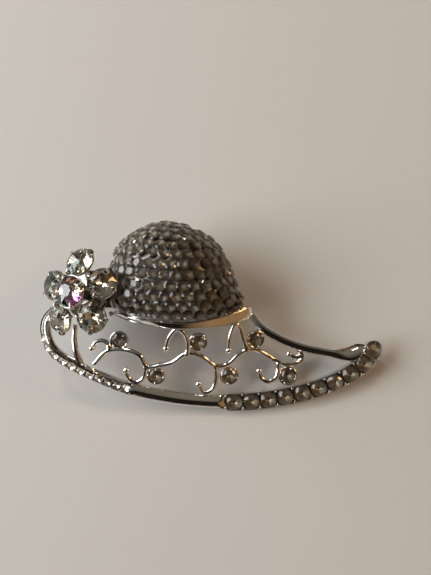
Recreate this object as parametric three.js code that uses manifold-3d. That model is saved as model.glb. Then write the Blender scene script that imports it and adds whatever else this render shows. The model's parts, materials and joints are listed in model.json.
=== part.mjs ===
// A hat-shaped rhinestone hair clip: a pave-set crown, an openwork brim, a flower of claw-set stones,
// and a sprung clip soldered behind the crown. Millimetres.
// Ornament frame: +X to the right of the hat, +Y towards the top of the hat, +Z out of its face.
import * as THREE from 'three';
import * as BufferGeometryUtils from 'three/addons/utils/BufferGeometryUtils.js';
import Module from 'manifold-3d';

const wasm = await Module();
wasm.setup();

const degree = Math.PI / 180;
const solderGap = 0.05; // left between neighbours that are soldered or glued together

// Brim
const rimThickness = 1.1;
const rimWidthRight = 3.1;
const rimWidthMiddle = 2.3;
const rimWidthLeft = 2.1;
const rimRidge = 0.55; // height of the ridge on the plain stretch
const wireRadius = 0.42;
const rimStoneRadius = 1.36;
const rimStonePitch = 3.02;
const smallRimStoneRadius = 0.76;
const smallRimStonePitch = 1.72;
const brimStoneRadius = 1.42;

// Crown
const crownCentre = [-6.2, 8.8];
const crownHeight = 9.6;
const crownWall = 0.8;
const plateThickness = 0.8;
const plateFront = -solderGap;
const paveRadius = 1.07; // over the corners, which join each stone to the next in its row
const pavePitch = 1.97;
const rowPitch = 2.08;
const paveRise = 0.72;
const bandThickness = 0.6;

// Flower
const flowerCentre = [-21.9, 5.8, 5.9];
const flowerLean = 24 * degree;
const petalPlaces = [[4.65, 1.45], [-0.1, 5.35], [-5.35, 1.7], [-3.9, -4.1], [2.65, -4.25]]; // round the centre
const petalRadius = 2.5;
const petalSplay = 20 * degree;
const centreRadius = 2.65;
const centreLift = 2.6;

// Clip
const clipY = 7.5;
const clipWidth = 5.6;
const sheet = 0.5;
const noseX = 4;
const tailX = -25.5;
const pinX = -14.5;
const pinZ = -4.2;
const pinRadius = 0.6;
const pinClearance = 0.06;
const jawWidth = 4.4;
const bowZ = -5.4; // inner face of the lower jaw at the bottom of its bow
const leverEndZ = -7.1; // inner face of the lever at its end
const upperJawTop = plateFront - plateThickness - solderGap;
const upperJawUnder = upperJawTop - sheet;
const gripPad = { from: -11.5, to: 1, width: 4, rise: 0.15 }; // pressed out of the upper jaw to hold the hair

const colour = {
  silver: { color: 0xc9c8c4, metalness: 1, roughness: 0.18 },
  steel: { color: 0xaeb0b2, metalness: 1, roughness: 0.32 },
  crystal: { color: 0x9a9488, metalness: 0.1, roughness: 0.05 },
  aurora: { color: 0xc8b4d8, metalness: 0.2, roughness: 0.05 },
};

const point = (x, y, z = 0) => new THREE.Vector3(x, y, z);
const smooth = THREE.MathUtils.smoothstep;

// ---- solids ----

function closed(positions, index) {
  const at = (k) => point(...positions.slice(3 * k, 3 * k + 3));
  let volume = 0;
  for (let k = 0; k < index.length; k += 3) {
    volume += at(index[k]).dot(at(index[k + 1]).cross(at(index[k + 2])));
  }
  const geometry = new THREE.BufferGeometry();
  geometry.setAttribute('position', new THREE.Float32BufferAttribute(positions, 3));
  geometry.setIndex(volume < 0 ? [...index].reverse() : index);
  return geometry;
}

function welded(geometry) {
  const plain = geometry.clone();
  plain.deleteAttribute('normal');
  plain.deleteAttribute('uv');
  const merged = BufferGeometryUtils.mergeVertices(plain, 1e-4);
  return closed(Array.from(merged.attributes.position.array), Array.from(merged.index.array));
}

function toSolid(geometry) {
  const merged = welded(geometry);
  const mesh = new wasm.Mesh({
    numProp: 3,
    vertProperties: new Float32Array(merged.attributes.position.array),
    triVerts: new Uint32Array(merged.index.array),
  });
  return new wasm.Manifold(mesh);
}

function toGeometry(solid) {
  const { vertProperties, triVerts } = solid.getMesh();
  return closed(Array.from(vertProperties), Array.from(triVerts));
}

// Rings of points, one after another along a path, closed by a flat end at each side.
function loft(rings) {
  const count = rings[0].length;
  const last = (rings.length - 1) * count;
  const index = [];
  for (let first = 0; first < last; first += count) {
    for (let k = 0; k < count; k += 1) {
      const a = first + k;
      const b = first + (k + 1) % count;
      index.push(a, b, b + count, a, b + count, a + count);
    }
  }
  for (let k = 1; k + 1 < count; k += 1) {
    index.push(0, k + 1, k, last, last + k, last + k + 1);
  }
  return closed(rings.flat().flatMap((p) => p.toArray()), index);
}

// Round wire through the given points.
function wire(points, radius, { steps = points.length * 3, sides = 5 } = {}) {
  const corners = [];
  for (let k = 0; k < sides; k += 1) {
    const angle = (2 * Math.PI * k) / sides;
    corners.push(new THREE.Vector2(radius * Math.cos(angle), radius * Math.sin(angle)));
  }
  const extrudePath = new THREE.CatmullRomCurve3(points, false, 'centripetal');
  return new THREE.ExtrudeGeometry(new THREE.Shape(corners), { steps, extrudePath });
}

function ball(centre, radius) {
  return new THREE.SphereGeometry(radius, 6, 4).translate(centre.x, centre.y, centre.z);
}

function union(geometries) {
  return geometries.map(toSolid).reduce((whole, part) => whole.add(part));
}

// Side outline in X and Z, extruded across Y about the given middle.
function sidePlate(outline, middleY, width) {
  const shape = new THREE.Shape(outline.map(([x, z]) => new THREE.Vector2(x, z)));
  const plate = new THREE.ExtrudeGeometry(shape, { depth: width, bevelEnabled: false });
  return plate.rotateX(90 * degree).translate(0, middleY + width / 2, 0);
}

// A faceted stone: table up, point down, girdle at z = 0.
function stone(radius, sides = 8) {
  const profile = [
    [0, -0.55 * radius], [radius, -0.04 * radius], [radius, 0.04 * radius],
    [0.6 * radius, 0.36 * radius], [0, 0.36 * radius],
  ];
  const corners = profile.map(([r, z]) => new THREE.Vector2(r, z));
  return new THREE.LatheGeometry(corners, sides).rotateX(90 * degree);
}

// The cup that a stone of this radius sits in, with claws at the middle of its flats.
function clawCup(radius, { claws = 4, foot = 0.55 * radius + 0.4, sides = 8 } = {}) {
  const inner = radius + solderGap;
  const outer = radius + 0.3;
  const profile = [
    [0, -foot], [0.45 * radius, -foot], [outer, -0.25], [outer, 0.04 * radius],
    [inner, 0.04 * radius], [inner, -0.12], [0, -0.55 * radius - 0.12],
  ];
  const corners = profile.map(([r, z]) => new THREE.Vector2(r, z));
  const pieces = [new THREE.LatheGeometry(corners, sides).rotateX(90 * degree)];
  const flat = Math.cos(Math.PI / sides);
  for (let k = 0; k < claws; k += 1) {
    const claw = new THREE.CylinderGeometry(0.16, 0.24, 1.0, 4);
    claw.rotateX(90 * degree).translate(flat * radius + 0.32, 0, 0.12);
    pieces.push(claw.rotateZ(Math.PI / sides + (2 * Math.PI * k) / claws));
  }
  return toGeometry(union(pieces));
}

// ---- the assembly ----

const hairClip = new THREE.Group();
const ornament = new THREE.Group();
hairClip.add(ornament);

function addPiece(parent, name, geometry, finish) {
  const mesh = new THREE.Mesh(geometry, new THREE.MeshStandardMaterial(finish));
  mesh.name = name;
  parent.add(mesh);
  return mesh;
}

function stand(mesh, position, normal) {
  mesh.position.copy(position);
  mesh.quaternion.setFromUnitVectors(point(0, 0, 1), normal);
}

// ---- brim surface: low at the front rim, rising to the hat band ----

const frontLine = (x) => -12.3 + 0.01 * (x - 4) ** 2;

function brimHeight(x, y) {
  const rise = 0.6 * Math.max(0, y - frontLine(x)) * Math.exp(-(((x + 5) / 16) ** 2));
  return -2 + 0.0042 * x * x + rise;
}

const onBrim = ([x, y]) => point(x, y, brimHeight(x, y));

function brimNormal([x, y]) {
  const step = 0.1;
  const slopeX = (brimHeight(x + step, y) - brimHeight(x - step, y)) / (2 * step);
  const slopeY = (brimHeight(x, y + step) - brimHeight(x, y - step)) / (2 * step);
  return point(-slopeX, -slopeY, 1).normalize();
}

// ---- front rim: one ribbon from under the flower to the right tip ----

const rimLine = new THREE.CatmullRomCurve3([
  [-26.3, 4.7, 0.35], [-28.9, 1.3], [-27.9, -3.2], [-24.4, -6.1], [-16.1, -9.7], [-7, -11.8],
  [2, -12.6], [10.5, -12.1], [19.5, -10], [24.9, -7.4], [27.9, -4.7], [28.8, -2.3],
].map(([x, y, lift = 0]) => point(x, y, lift - 2 + 0.0042 * x * x)), false, 'centripetal');

function rimFrame(u) {
  const at = rimLine.getPointAt(u);
  const along = rimLine.getTangentAt(u);
  const outward = along.clone().cross(point(0, 0, 1)).normalize();
  const up = outward.clone().cross(along).normalize();
  const middle = smooth(at.x, -22, -12);
  const right = smooth(at.x, 0, 8);
  const lean = (52 - 40 * middle - 2 * right) * degree;
  const face = up.clone().multiplyScalar(Math.cos(lean)).addScaledVector(outward, Math.sin(lean));
  const across = outward.multiplyScalar(Math.cos(lean)).addScaledVector(up, -Math.sin(lean));
  const leftStretch = smooth(-at.x, 13, 16);
  const rightStretch = smooth(at.x, 1.5, 3.5);
  const plain = 1 - Math.max(leftStretch, rightStretch);
  let width = rimWidthMiddle;
  width += leftStretch * (rimWidthLeft - rimWidthMiddle);
  width += rightStretch * (rimWidthRight - rimWidthMiddle);
  return { at, face, across, plain, width };
}

function rimRibbon(grow = 0) {
  const stations = 44;
  const rings = [];
  for (let k = 0; k <= stations; k += 1) {
    const { at, face, across, plain, width } = rimFrame(k / stations);
    const taper = k === 0 || k === stations ? 0.7 : 1;
    const half = (width * taper) / 2 + grow;
    const section = [
      [-half, -rimThickness - grow], [half, -rimThickness - grow], [half, grow],
      [0, 0.02 + rimRidge * plain + grow], [-half, grow],
    ];
    rings.push(section.map(([side, height]) => at.clone()
      .addScaledVector(across, side)
      .addScaledVector(face, height)));
  }
  return loft(rings);
}

addPiece(ornament, 'front_rim', rimRibbon(), colour.silver);
const rimKeepout = toSolid(rimRibbon(solderGap));

// A run of rim stones on one strip, laid along the ribbon between two stretches of its length.
function rimStones(name, firstU, count, radius, pitch) {
  const pitchU = pitch / rimLine.getLength();
  const rise = 0.45;
  const seat = 0.2;
  const pieces = [];
  const strip = [];
  for (let k = 0; k < count; k += 1) {
    const { at, face } = rimFrame(firstU + k * pitchU);
    const gem = new THREE.CylinderGeometry(0.62 * radius, radius, 2 * rise, 8);
    const turn = new THREE.Quaternion().setFromUnitVectors(point(0, 1, 0), face);
    const centre = at.clone().addScaledVector(face, seat + rise);
    pieces.push(gem.applyQuaternion(turn).translate(centre.x, centre.y, centre.z));
    strip.push(at.clone().addScaledVector(face, 2 * seat));
  }
  pieces.push(wire(strip, seat, { steps: count, sides: 4 }));
  addPiece(ornament, name, toGeometry(union(pieces).subtract(rimKeepout)), colour.crystal);
}

// Where the rim passes the given x, as a share of its length. It runs left to right from its second point.
function rimShareAt(x) {
  let low = 0.1;
  let high = 1;
  while (high - low > 1e-4) {
    const middle = (low + high) / 2;
    if (rimLine.getPointAt(middle).x < x) low = middle;
    else high = middle;
  }
  return low;
}

rimStones('rim_stones_left', 0.1, 11, smallRimStoneRadius, smallRimStonePitch);
rimStones('rim_stones_right', rimShareAt(4.4), 10, rimStoneRadius, rimStonePitch);

// ---- back rim, flaring into the web at the tip ----

function backRim(grow = 0) {
  const line = new THREE.CatmullRomCurve3([
    point(6.7, 3.5, 0.8), point(8.8, 0.7, 0.9), point(11.5, -1.1, 0.9),
    point(15.1, -2.7, 0.8), point(20.2, -3.9, 0.8), point(24.4, -4.3, 1.0), point(27.3, -3.2, 1.3),
  ]);
  const stations = 16;
  const rings = [];
  for (let k = 0; k <= stations; k += 1) {
    const u = k / stations;
    const at = line.getPointAt(u);
    const across = line.getTangentAt(u).cross(point(0, 0, 1)).normalize();
    const half = 0.8 + 0.55 * smooth(u, 0.72, 0.92) + grow;
    const section = [[-half, -0.7 - grow], [half, -0.7 - grow], [0.8 * half, 0.35 + grow],
      [-0.5 * half, 0.6 + grow], [-half, 0.1 + grow]];
    rings.push(section.map(([side, height]) => at.clone()
      .addScaledVector(across, side)
      .add(point(0, 0, height))));
  }
  return loft(rings);
}

const rimStoneKeepout = new THREE.CatmullRomCurve3([0.86, 0.9, 0.94, 0.98].map((u) => {
  const { at, face } = rimFrame(u);
  return at.addScaledVector(face, 0.9);
}));
const backRimSolid = toSolid(backRim())
  .subtract(rimKeepout)
  .subtract(toSolid(wire(rimStoneKeepout.points, rimStoneRadius + 0.2, { sides: 8 })));
addPiece(ornament, 'back_rim', toGeometry(backRimSolid), colour.silver);
const backRimKeepout = toSolid(backRim(solderGap));

// ---- strip that ties the flower to the front rim ----

const stemPath = [point(-23.4, 0.9, 1.6), point(-23.6, -2.0, 1.0), point(-23.2, -4.4, 0.5), point(-22.6, -6.0, -0.1)];
const stem = toSolid(wire(stemPath, 0.6, { steps: 10 })).subtract(rimKeepout);
addPiece(ornament, 'flower_stem', toGeometry(stem), colour.silver);

// ---- brim stones in their cups ----

const brimStones = [[-15.7, -1.9], [-9.4, -8.0], [-1.9, -2.3], [3.5, -8.0], [8.0, -1.7], [13.8, -8.0]];
const cupKeepout = brimStones.map((place) => {
  const can = new THREE.CylinderGeometry(brimStoneRadius + 0.4, brimStoneRadius + 0.4, 3.2, 8);
  const turn = new THREE.Quaternion().setFromUnitVectors(point(0, 1, 0), brimNormal(place));
  const centre = onBrim(place);
  return toSolid(can.applyQuaternion(turn).translate(centre.x, centre.y, centre.z));
}).reduce((whole, part) => whole.add(part));

brimStones.forEach((place, k) => {
  const cup = addPiece(ornament, `brim_cup_${k + 1}`, clawCup(brimStoneRadius, { claws: 0 }), colour.silver);
  const gem = addPiece(ornament, `brim_stone_${k + 1}`, welded(stone(brimStoneRadius)), colour.crystal);
  stand(cup, onBrim(place), brimNormal(place));
  stand(gem, onBrim(place), brimNormal(place));
});

// ---- filigree: a vine of arcs with curls and hooks that branch from its joints ----

const vinePath = [
  [-20.3, -5.9], [-17.7, -3.6], [-14.3, -3.6], [-12.1, -4.5], [-10.9, -6.4], [-8.6, -6.2], [-6.5, -5.7],
  [-4.5, -4.4], [-3.2, -4.1], [-1.1, -4.8], [1.2, -6.3], [3.2, -6.0], [5.0, -4.4], [6.7, -3.5],
  [8.4, -3.6], [10.1, -4.4], [11.7, -5.4], [12.9, -5.9], [14.9, -5.9], [16.2, -5.3], [16.3, -4.3], [15.3, -3.0],
];

const branches = {
  start_curl: [[-17.5, -3.5], [-17.7, -2.5], [-18.7, -1.9], [-19.9, -2.2], [-20.6, -3.2]],
  left_curl: [[-11.0, -6.5], [-11.7, -8.4], [-13.0, -9.1], [-14.3, -8.3], [-14.6, -7.0]],
  left_hook: [[-3.8, -4.3], [-3.6, -2.3], [-4.3, -0.7], [-5.4, -0.1], [-6.7, -1.3], [-7.4, -3.3]],
  middle_curl: [[1.1, -6.3], [1.2, -8.6], [0.4, -10.4], [-0.9, -10.9], [-1.9, -9.4]],
  right_hook: [[6.5, -3.6], [5.9, -1.5], [5.3, 0.2], [4.5, 0.8], [3.7, -0.7], [3.3, -3.6]],
  right_curl: [[12.2, -5.7], [11.7, -8.3], [10.3, -9.0], [9.1, -8.3], [8.7, -7.1]],
  end_bud: [[16.2, -4.5], [15.1, -4.7], [14.0, -4.2]],
};

const vineRings = vinePath.map(onBrim);
const vineSolid = toSolid(wire(vineRings, wireRadius, { steps: 52 }))
  .subtract(rimKeepout)
  .subtract(backRimKeepout)
  .subtract(cupKeepout);
const vineKeepout = toSolid(wire(vineRings, wireRadius + solderGap, { steps: 52 }));
addPiece(ornament, 'filigree_vine', toGeometry(vineSolid), colour.silver);

const bandKeepout = toSolid(hatBand(solderGap));
for (const [name, path] of Object.entries(branches)) {
  const lifted = path.map(onBrim);
  const ending = ball(lifted.at(-1), wireRadius + 0.12);
  const branch = union([wire(lifted, wireRadius), ending])
    .subtract(vineKeepout)
    .subtract(rimKeepout)
    .subtract(bandKeepout)
    .subtract(cupKeepout);
  addPiece(ornament, name, toGeometry(branch), colour.silver);
}

// ---- crown: a hollow dome whose edge rises over the hat band ----

const crownOutline = new THREE.CatmullRomCurve3([
  [5.6, 4.2, 1.9], [4.6, 8.0, 0.5], [3.4, 11.5, 0.3], [1.7, 14.6, 0.3], [-2.4, 17.7, 0.3],
  [-8.2, 19.0, 0.3], [-12.6, 17.5, 0.3], [-16.0, 14.8, 0.3], [-17.2, 11.2, 0.4], [-17.5, 7.2, 1.1],
  [-16.4, 4.1, 2.7], [-10.0, 1.95, 5.1], [-4.8, 1.3, 5.8], [1.8, 2.2, 5.0],
].map(([x, y, z]) => point(x, y, z)), true, 'centripetal').getSpacedPoints(180);

function crownEdge(angle) {
  const dome = crownOutline.slice(0, -1).map((p) => {
    const away = point(p.x - crownCentre[0], p.y - crownCentre[1]);
    const turn = Math.atan2(away.y, away.x) - angle;
    return { miss: Math.abs(Math.atan2(Math.sin(turn), Math.cos(turn))), reach: away.length(), z: p.z };
  });
  dome.sort((a, b) => a.miss - b.miss);
  const [near, next] = dome;
  const share = near.miss / (near.miss + next.miss);
  return {
    reach: near.reach + share * (next.reach - near.reach),
    z: near.z + share * (next.z - near.z),
  };
}

function crownRing(share, { inset = 0, drop = 0, floor = null, corners = 28 } = {}) {
  const ring = [];
  for (let k = 0; k < corners; k += 1) {
    const angle = (2 * Math.PI * k) / corners;
    const { reach, z } = crownEdge(angle);
    const radius = share * (reach - inset);
    const height = z + (crownHeight - z) * (1 - share * share) ** 0.6 - drop;
    ring.push(point(
      crownCentre[0] + radius * Math.cos(angle),
      crownCentre[1] + radius * Math.sin(angle),
      floor ?? height,
    ));
  }
  return ring;
}

const domeShares = [0.05, 0.35, 0.6, 0.78, 0.91, 1];
const domeOutside = toSolid(loft([
  ...domeShares.map((share) => crownRing(share)), crownRing(1, { floor: 0 }),
]));
const hollow = { inset: crownWall, drop: crownWall };
const domeInside = toSolid(loft([
  ...domeShares.slice(0, -1).map((share) => crownRing(share, hollow)),
  crownRing(0.95, { inset: crownWall, floor: -1 }),
]));
addPiece(ornament, 'crown_shell', toGeometry(domeOutside.subtract(domeInside)), colour.silver);

// Flat plate that closes the crown and runs left under the flower.
const plateOutline = crownRing(1, { floor: 0, corners: 36 }).map((p) => new THREE.Vector2(p.x, p.y));
const platePiece = (outline) => new THREE.ExtrudeGeometry(
  new THREE.Shape(outline),
  { depth: plateThickness, bevelEnabled: false },
).translate(0, 0, plateFront - plateThickness);
const tongue = [[-14, 4.0], [-26.0, 4.0], [-26.8, 5.2], [-26.2, 8.2], [-24.0, 9.6], [-14, 9.6]]
  .map(([x, y]) => new THREE.Vector2(x, y));
const backPlate = union([platePiece(plateOutline), platePiece(tongue)]);
addPiece(ornament, 'crown_back_plate', toGeometry(backPlate), colour.silver);

// ---- crown stones, in rows that follow the curve of the hat band ----

function crownPoint(x, y) {
  const away = point(x - crownCentre[0], y - crownCentre[1]);
  const { reach, z } = crownEdge(Math.atan2(away.y, away.x));
  const share = Math.min(1, away.length() / reach);
  return point(x, y, z + (crownHeight - z) * (1 - share * share) ** 0.6);
}

function crownNormal(x, y) {
  const step = 0.15;
  const alongX = crownPoint(x + step, y).sub(crownPoint(x - step, y));
  return alongX.cross(crownPoint(x, y + step).sub(crownPoint(x, y - step))).normalize();
}

function insideCrown(x, y, margin) {
  const away = point(x - crownCentre[0], y - crownCentre[1]);
  return away.length() < crownEdge(Math.atan2(away.y, away.x)).reach - margin;
}

const rowMiddleX = -5.4;
const rowCurve = 0.02;
const firstRowY = 2.15;
const edgeMargin = 0.5;

function rowPoints(middleY, start, direction) {
  const places = [];
  let x = rowMiddleX + start;
  let from = null;
  while (true) {
    const y = middleY + rowCurve * (x - rowMiddleX) ** 2;
    if (!insideCrown(x, y, edgeMargin)) return places;
    const here = crownPoint(x, y);
    if (from === null || here.distanceTo(from) >= pavePitch) {
      places.push(here);
      from = here;
    }
    x += direction * 0.005;
  }
}

function paveRow(name, middleY, offset) {
  const right = rowPoints(middleY, offset, 1);
  const left = rowPoints(middleY, offset, -1).slice(1);
  const places = [...left.reverse(), ...right];
  const pieces = places.map((place, k) => {
    const normal = crownNormal(place.x, place.y);
    const ahead = places[Math.min(k + 1, places.length - 1)];
    const along = ahead.clone().sub(places[Math.max(k - 1, 0)]);
    const across = normal.clone().cross(along).normalize();
    const turn = new THREE.Matrix4().makeBasis(across, normal, across.clone().cross(normal));
    const gem = new THREE.CylinderGeometry(0.6 * paveRadius, paveRadius, paveRise, 6);
    const centre = place.clone().addScaledVector(normal, solderGap + paveRise / 2);
    return gem.applyMatrix4(turn).translate(centre.x, centre.y, centre.z);
  });
  addPiece(ornament, name, toGeometry(union(pieces)), colour.crystal);
}

const rowHeights = [firstRowY];
let walked = 0;
for (let y = firstRowY; insideCrown(rowMiddleX, y, edgeMargin); y += 0.02) {
  walked += crownPoint(rowMiddleX, y).distanceTo(crownPoint(rowMiddleX, y - 0.02));
  if (walked >= rowPitch) {
    rowHeights.push(y);
    walked = 0;
  }
}
rowHeights.forEach((middleY, k) => {
  paveRow(`crown_stone_row_${k + 1}`, middleY, k % 2 ? pavePitch / 2 : 0);
});

// ---- hat band: a strip standing round the front of the crown, turned up at its right end ----

function hatBand(grow = 0) {
  const line = new THREE.CatmullRomCurve3([
    point(-16.4, 2.9, 2.9), point(-13.4, 1.7, 4.5), point(-9.9, 0.9, 5.5), point(-4.8, 0.3, 6.0),
    point(1.8, 1.1, 5.2), point(5.2, 2.2, 3.8), point(7.4, 3.4, 2.6),
  ]);
  const stations = 20;
  const rings = [];
  for (let k = 0; k <= stations; k += 1) {
    const u = k / stations;
    const at = line.getPointAt(u);
    const out = line.getTangentAt(u).cross(point(0, 0, 1)).setZ(0).normalize();
    const half = 0.62 + 0.43 * smooth(u, 0.5, 0.9) + grow;
    const lean = (26 + 22 * smooth(u, 0.1, 0.5)) * degree;
    const rise = point(-out.x * Math.sin(lean), -out.y * Math.sin(lean), Math.cos(lean));
    const thick = out.multiplyScalar(Math.cos(lean)).add(point(0, 0, Math.sin(lean)));
    const section = [[0, -half], [bandThickness + grow, -half], [bandThickness + grow, half], [0, half]];
    rings.push(section.map(([deep, high]) => at.clone()
      .addScaledVector(thick, deep - bandThickness / 2 - grow)
      .addScaledVector(rise, high)));
  }
  return loft(rings);
}

addPiece(ornament, 'hat_band', hatBand(), colour.silver);
addPiece(ornament, 'band_bead', welded(ball(point(-16.96, 2.56, 2.9), 0.5)), colour.silver);

// ---- flower ----

const flower = new THREE.Group();
flower.position.set(...flowerCentre);
flower.rotation.y = -flowerLean;
ornament.add(flower);

const petalFoot = 0.55 * petalRadius + 0.4;
const hubTop = -petalFoot - 0.35;
const hub = new THREE.CylinderGeometry(4.3, 4.3, 0.6, 10).rotateX(90 * degree);
addPiece(flower, 'flower_hub', welded(hub.translate(0, 0, hubTop - 0.3)), colour.silver);

const post = new THREE.CylinderGeometry(1.5, 1.9, 8, 8).rotateX(90 * degree);
const aboveHub = new THREE.BoxGeometry(20, 20, 20).translate(0, 0, hubTop - 0.6 - solderGap + 10);
aboveHub.applyMatrix4(new THREE.Matrix4().makeRotationY(-flowerLean));
aboveHub.translate(...flowerCentre);
const postSolid = toSolid(post.translate(-20.5, 6.2, 4)).subtract(toSolid(aboveHub));
addPiece(ornament, 'flower_post', toGeometry(postSolid), colour.silver);

petalPlaces.forEach(([x, y], k) => {
  const place = point(x, y, 0);
  const normal = place.clone().setLength(Math.sin(petalSplay)).setZ(Math.cos(petalSplay));
  stand(addPiece(flower, `petal_cup_${k + 1}`, clawCup(petalRadius), colour.silver), place, normal);
  stand(addPiece(flower, `petal_stone_${k + 1}`, welded(stone(petalRadius)), colour.crystal), place, normal);
});

const centreCup = addPiece(
  flower,
  'centre_cup',
  clawCup(centreRadius, { foot: centreLift - hubTop - solderGap }),
  colour.silver,
);
const centreStone = addPiece(flower, 'centre_stone', welded(stone(centreRadius)), colour.aurora);
centreCup.position.z = centreLift;
centreStone.position.z = centreLift;

// ---- sprung clip behind the crown ----

const eye = (radius) => new THREE.CylinderGeometry(radius, radius, 2 * clipWidth, 12)
  .translate(pinX, clipY, pinZ);
const pinBore = toSolid(eye(pinRadius + pinClearance));

function ears(middle, topZ, bottomZ, halfLength) {
  const outline = [
    [pinX - halfLength, topZ], [pinX - 0.9, bottomZ], [pinX + 0.9, bottomZ], [pinX + halfLength, topZ],
  ];
  return [-1, 1].map((side) => sidePlate(outline, clipY + side * (middle - sheet / 2), sheet));
}

const jawPlate = new THREE.BoxGeometry(noseX - tailX, clipWidth, sheet)
  .translate((noseX + tailX) / 2, clipY, upperJawTop - sheet / 2);
const pad = new THREE.BoxGeometry(gripPad.to - gripPad.from, gripPad.width, gripPad.rise + 0.1)
  .translate((gripPad.from + gripPad.to) / 2, clipY, upperJawUnder + 0.05 - gripPad.rise / 2);
const upperJaw = union([
  jawPlate,
  pad,
  ...ears(clipWidth / 2, upperJawTop - 0.1, pinZ - 1.2, 2.4),
]).subtract(pinBore);
addPiece(ornament, 'clip_upper_jaw', toGeometry(upperJaw), colour.steel);

const jawInside = [
  [tailX, leverEndZ], [-19, -5.9], [-16.5, bowZ - 0.25], [-6, bowZ], [-1, -4.7], [2.0, -3.3],
  [noseX - 0.4, upperJawUnder - 0.12],
];
const jawOutside = jawInside.map(([x, z], k) => {
  const last = k === jawInside.length - 1;
  return last ? [noseX, upperJawUnder - 0.12] : [x + 0.02 * k, z - sheet];
}).reverse();
const lowerJaw = union([
  sidePlate([...jawInside, ...jawOutside], clipY, jawWidth),
  ...ears(jawWidth / 2, bowZ - 0.4, pinZ + 1.1, 2.2),
]).subtract(pinBore);
addPiece(ornament, 'clip_lower_jaw', toGeometry(lowerJaw), colour.steel);

const pinEnd = clipWidth / 2 + 0.08;
const pinProfile = [
  [0, -pinEnd - 0.35], [0.95, -pinEnd - 0.35], [0.95, -pinEnd], [pinRadius, -pinEnd],
  [pinRadius, pinEnd], [0.95, pinEnd], [0.95, pinEnd + 0.35], [0, pinEnd + 0.35],
].map(([r, y]) => new THREE.Vector2(r, y));
const pin = new THREE.LatheGeometry(pinProfile, 12).translate(pinX, clipY, pinZ);
addPiece(ornament, 'hinge_pin', welded(pin), colour.steel);

const coilRadius = 1.0;
const coilTurns = 4;
const coilSteps = 8;
const springWire = 0.27;
const springPath = [point(-20.5, clipY - 1.6, upperJawUnder - springWire - 0.05)];
for (let k = 0; k <= coilSteps * coilTurns; k += 1) {
  const angle = 90 * degree - (2 * Math.PI * k) / coilSteps;
  springPath.push(point(
    pinX + coilRadius * Math.cos(angle),
    clipY - 1.4 + (2.8 * k) / (coilSteps * coilTurns),
    pinZ + coilRadius * Math.sin(angle),
  ));
}
springPath.push(point(-19.5, clipY + 1.6, -5.2));
const spring = wire(springPath, springWire, { steps: 44, sides: 5 });
addPiece(ornament, 'torsion_spring', welded(spring), colour.steel);

// ---- the clip lies on the front rim, the end of the lever and the bow of the lower jaw ----

function lowest(geometry, up) {
  const spots = geometry.attributes.position;
  let found = point(0, 0, 0);
  let least = Infinity;
  for (let k = 0; k < spots.count; k += 1) {
    const spot = new THREE.Vector3().fromBufferAttribute(spots, k);
    if (spot.dot(up) < least) {
      least = spot.dot(up);
      found = spot;
    }
  }
  return found;
}

const jawEdgeY = clipY - jawWidth / 2;
const leverFoot = point(tailX, jawEdgeY, leverEndZ - sheet);
const bowFoot = point(-6, jawEdgeY, bowZ - sheet);
let up = point(0, 0.2, 1).normalize();
for (let round = 0; round < 4; round += 1) {
  const rimFoot = lowest(ornament.getObjectByName('front_rim').geometry, up);
  up = bowFoot.clone().sub(rimFoot).cross(leverFoot.clone().sub(rimFoot)).normalize();
}
const right = point(1, 0, 0).addScaledVector(up, -up.x).normalize();
const stance = new THREE.Matrix4().makeBasis(right, up.clone().cross(right), up).transpose();
ornament.quaternion.setFromRotationMatrix(stance);

const box = new THREE.Box3().setFromObject(hairClip, true);
const middle = box.getCenter(point(0, 0, 0));
ornament.position.set(-middle.x, -middle.y, -box.min.z);

export default hairClip;
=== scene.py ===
import bisect
import json
import math
import random

import bmesh
import bpy
from mathutils import Matrix, Vector


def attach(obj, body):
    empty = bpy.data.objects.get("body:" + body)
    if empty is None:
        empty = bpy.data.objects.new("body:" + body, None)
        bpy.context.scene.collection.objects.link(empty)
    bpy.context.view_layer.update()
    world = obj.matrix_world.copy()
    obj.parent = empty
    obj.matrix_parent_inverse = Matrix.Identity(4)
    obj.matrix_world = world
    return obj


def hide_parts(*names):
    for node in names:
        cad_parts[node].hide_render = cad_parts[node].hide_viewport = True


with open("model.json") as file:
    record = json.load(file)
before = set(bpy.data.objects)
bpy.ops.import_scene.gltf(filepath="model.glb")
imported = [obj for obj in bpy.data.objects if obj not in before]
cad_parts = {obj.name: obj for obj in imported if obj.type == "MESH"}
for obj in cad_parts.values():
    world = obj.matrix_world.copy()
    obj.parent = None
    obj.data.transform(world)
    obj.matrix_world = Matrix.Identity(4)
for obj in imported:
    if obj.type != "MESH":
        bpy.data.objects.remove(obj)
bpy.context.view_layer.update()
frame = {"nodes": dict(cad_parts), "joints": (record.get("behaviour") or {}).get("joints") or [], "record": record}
print("frame loaded")


# The hat's own axes, in millimetres: X to the right, Y to the top of the hat, Z out of its face.
hinge = frame["joints"][0]
gripFace = frame["record"]["mounts"][0]
hatY = Vector(hinge["axis"]).normalized()
hatZ = -Vector(gripFace["axis"]).normalized()
hatX = hatY.cross(hatZ).normalized()
hatTurn = Matrix((hatX, hatZ.cross(hatX), hatZ)).transposed()
pinSpot = (-14.5, 7.5, -4.2)  # the middle of the clip's pin on those axes
hatToWorld = (
    Matrix.Translation(Vector(hinge["pos_m"]))
    @ hatTurn.to_4x4()
    @ Matrix.Scale(0.001, 4)
    @ Matrix.Translation(-Vector(pinSpot))
)
degree = math.pi / 180
fullTurn = 2 * math.pi


def eased(value, low, high):
    share = min(1, max(0, (value - low) / (high - low)))
    return share * share * (3 - 2 * share)


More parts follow.
